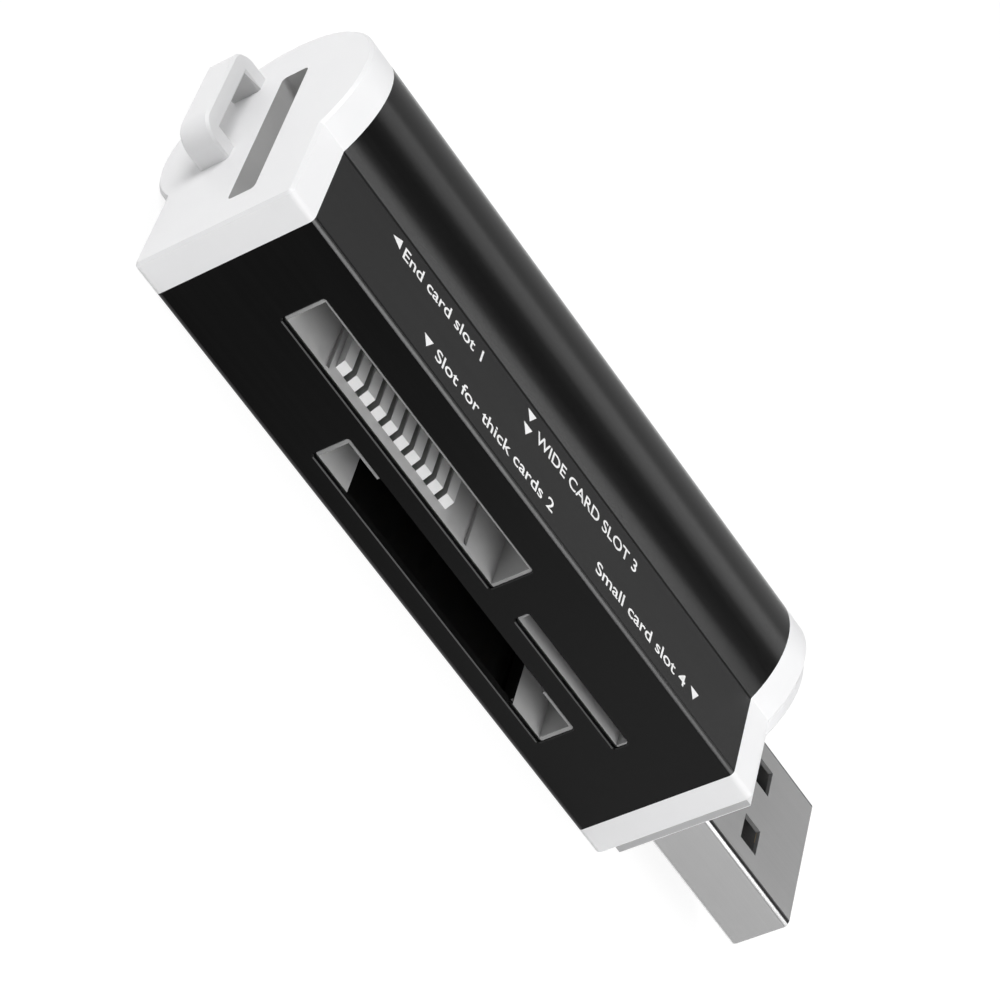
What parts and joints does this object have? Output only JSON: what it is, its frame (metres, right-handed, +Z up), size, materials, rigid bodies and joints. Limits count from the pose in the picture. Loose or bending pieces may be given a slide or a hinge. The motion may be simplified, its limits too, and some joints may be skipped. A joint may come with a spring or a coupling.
{
  "type": "usb memory card reader",
  "caption": "Pocket card reader: black keyhole-section case with card slots in its flat face, white end caps, a lanyard loop on one end and a USB plug on the other.",
  "frame": {"origin": "centre of the bounding box's floor, with the reader lying on its far side on a table", "axes": "+X along the case from the lanyard loop to the plug, +Y from the slot face to the dome, +Z up from the table, with the label side up"},
  "size_m": [0.0654, 0.021, 0.0156],
  "materials": {
    "case_black": "black anodised, satin",
    "cap_white": "white moulded, satin",
    "plug_steel": "satin nickel plate",
    "tongue_black": "black moulded",
    "contact_gold": "gold flash",
    "board_green": "green solder mask over glass laminate",
    "chip_black": "black moulded resin",
    "capacitor_tan": "tan ceramic",
    "resistor_dark": "dark glaze",
    "socket_grey": "pale grey moulded",
    "sheet_steel": "plain sheet"
  },
  "bodies": {
    "root": {"body_shell": "case_black", "loop_cap": "cap_white", "usb_cap": "cap_white", "usb_plug_shell": "plug_steel", "usb_plug_tongue": "tongue_black", "usb_plug_contacts": "contact_gold", "circuit_board": "board_green", "controller_chip": "chip_black", "crystal": "sheet_steel", "voltage_regulator": "chip_black", "chip_capacitors": "capacitor_tan", "chip_resistors": "resistor_dark", "wide_card_socket": "socket_grey", "wide_card_contacts": "contact_gold", "stick_card_socket": "socket_grey", "stick_card_cover": "sheet_steel", "stick_card_contacts": "contact_gold", "small_card_socket": "socket_grey", "small_card_cover": "sheet_steel", "small_card_contacts": "contact_gold", "end_card_socket": "socket_grey", "end_card_contacts": "contact_gold"}
  },
  "joints": []
}
